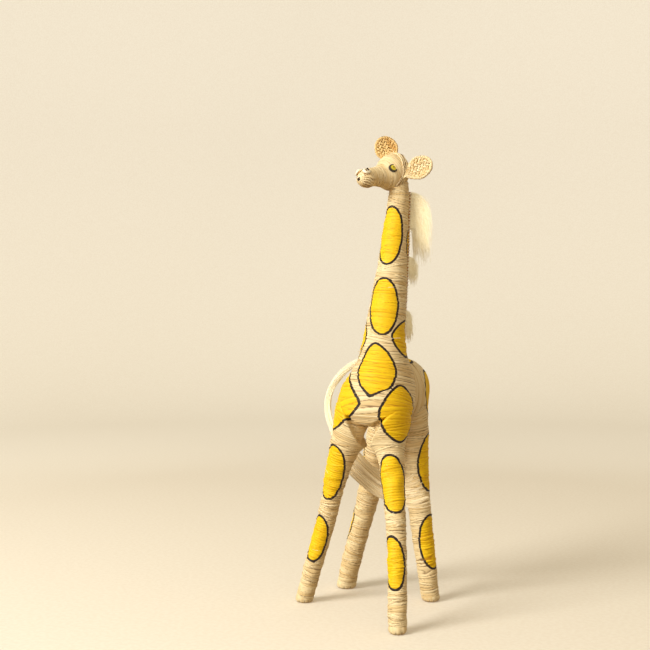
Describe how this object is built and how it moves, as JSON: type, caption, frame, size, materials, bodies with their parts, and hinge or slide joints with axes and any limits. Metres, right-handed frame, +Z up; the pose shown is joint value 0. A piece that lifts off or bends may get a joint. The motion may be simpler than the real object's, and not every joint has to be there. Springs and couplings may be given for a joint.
{
  "type": "wrapped fibre giraffe figure",
  "caption": "Standing giraffe figure wrapped in natural fibre over straw and wire, with plaited ears, fibre mane and tail and painted oval spots.",
  "frame": {"origin": "bottom centre of the figure's box, on the surface it stands on", "axes": "+Z up and the longest extent; the figure faces -Y and its own left side is +X"},
  "size_m": [0.1264, 0.139, 0.4172],
  "materials": {
    "raffia_wrap": "wrapped natural fibre strands with painted yellow ovals outlined in dark brown",
    "straw": "loose dry straw bundle",
    "steel_wire": "dull drawn wire",
    "plaited_fibre": "plaited natural fibre, golden tan",
    "loose_fibre": "combed pale fibre, frayed at the ends"
  },
  "bodies": {
    "root": {"crown_band": "plaited_fibre", "front_left_leg_core": "straw", "front_left_leg_wire": "steel_wire", "front_left_leg_wrap": "raffia_wrap", "front_left_sole": "raffia_wrap", "front_right_leg_core": "straw", "front_right_leg_wire": "steel_wire", "front_right_leg_wrap": "raffia_wrap", "front_right_sole": "raffia_wrap", "head_core": "straw", "head_wrap": "raffia_wrap", "hip_binding": "steel_wire", "left_cheek_band": "plaited_fibre", "left_ear_panel": "plaited_fibre", "left_ear_rim": "plaited_fibre", "left_ear_stem": "steel_wire", "mane_cord": "loose_fibre", "mane_tuft_1": "loose_fibre", "mane_tuft_2": "loose_fibre", "mane_tuft_3": "loose_fibre", "neck_core": "straw", "neck_wrap": "raffia_wrap", "rear_left_leg_core": "straw", "rear_left_leg_wire": "steel_wire", "rear_left_leg_wrap": "raffia_wrap", "rear_left_sole": "raffia_wrap", "rear_right_leg_core": "straw", "rear_right_leg_wire": "steel_wire", "rear_right_leg_wrap": "raffia_wrap", "rear_right_sole": "raffia_wrap", "right_cheek_band": "plaited_fibre", "right_ear_panel": "plaited_fibre", "right_ear_rim": "plaited_fibre", "right_ear_stem": "steel_wire", "shoulder_binding": "steel_wire", "spine_wire": "steel_wire", "tail_root": "raffia_wrap", "tail_sheaf": "loose_fibre", "tail_tassel": "loose_fibre", "torso_core": "straw", "torso_wrap": "raffia_wrap"}
  },
  "joints": []
}
